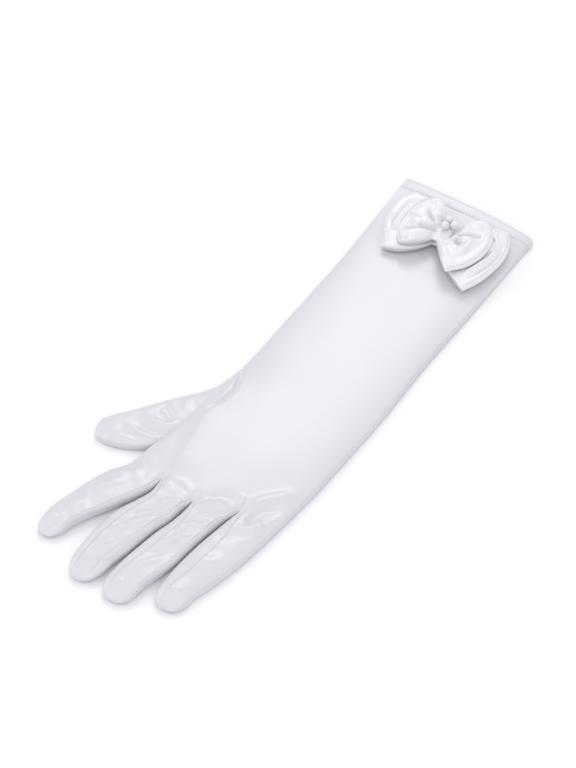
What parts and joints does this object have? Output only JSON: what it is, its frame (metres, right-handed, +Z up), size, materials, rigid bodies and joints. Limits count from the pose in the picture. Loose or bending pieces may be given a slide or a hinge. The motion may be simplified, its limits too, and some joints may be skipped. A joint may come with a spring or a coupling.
{
  "type": "long satin dress glove",
  "caption": "Elbow-reaching satin dress glove for a left hand, lying flat, open at the cuff, with a hem, fourchettes, a thumb and a double bow with pearls.",
  "frame": {"origin": "on the surface the glove lies on, under the middle of its bounding box", "axes": "+Y from the fingertips to the cuff, +X from the thumb side to the little-finger side, +Z up, out of the back of the hand"},
  "size_m": [0.1184, 0.3162, 0.0222],
  "materials": {
    "satin": "white satin with a soft sheen",
    "ribbon_satin": "white ribbon satin, glossier than the glove",
    "pearl": "pearl lacquer"
  },
  "bodies": {
    "root": {"trank": "satin", "thumb": "satin", "fourchette_index_middle": "satin", "fourchette_middle_ring": "satin", "fourchette_ring_little": "satin", "cuff_hem": "satin", "bow_lower_ribbon": "ribbon_satin", "bow_upper_ribbon": "ribbon_satin", "bow_knot": "ribbon_satin", "pearl_1": "pearl", "pearl_2": "pearl", "pearl_3": "pearl"}
  },
  "joints": []
}
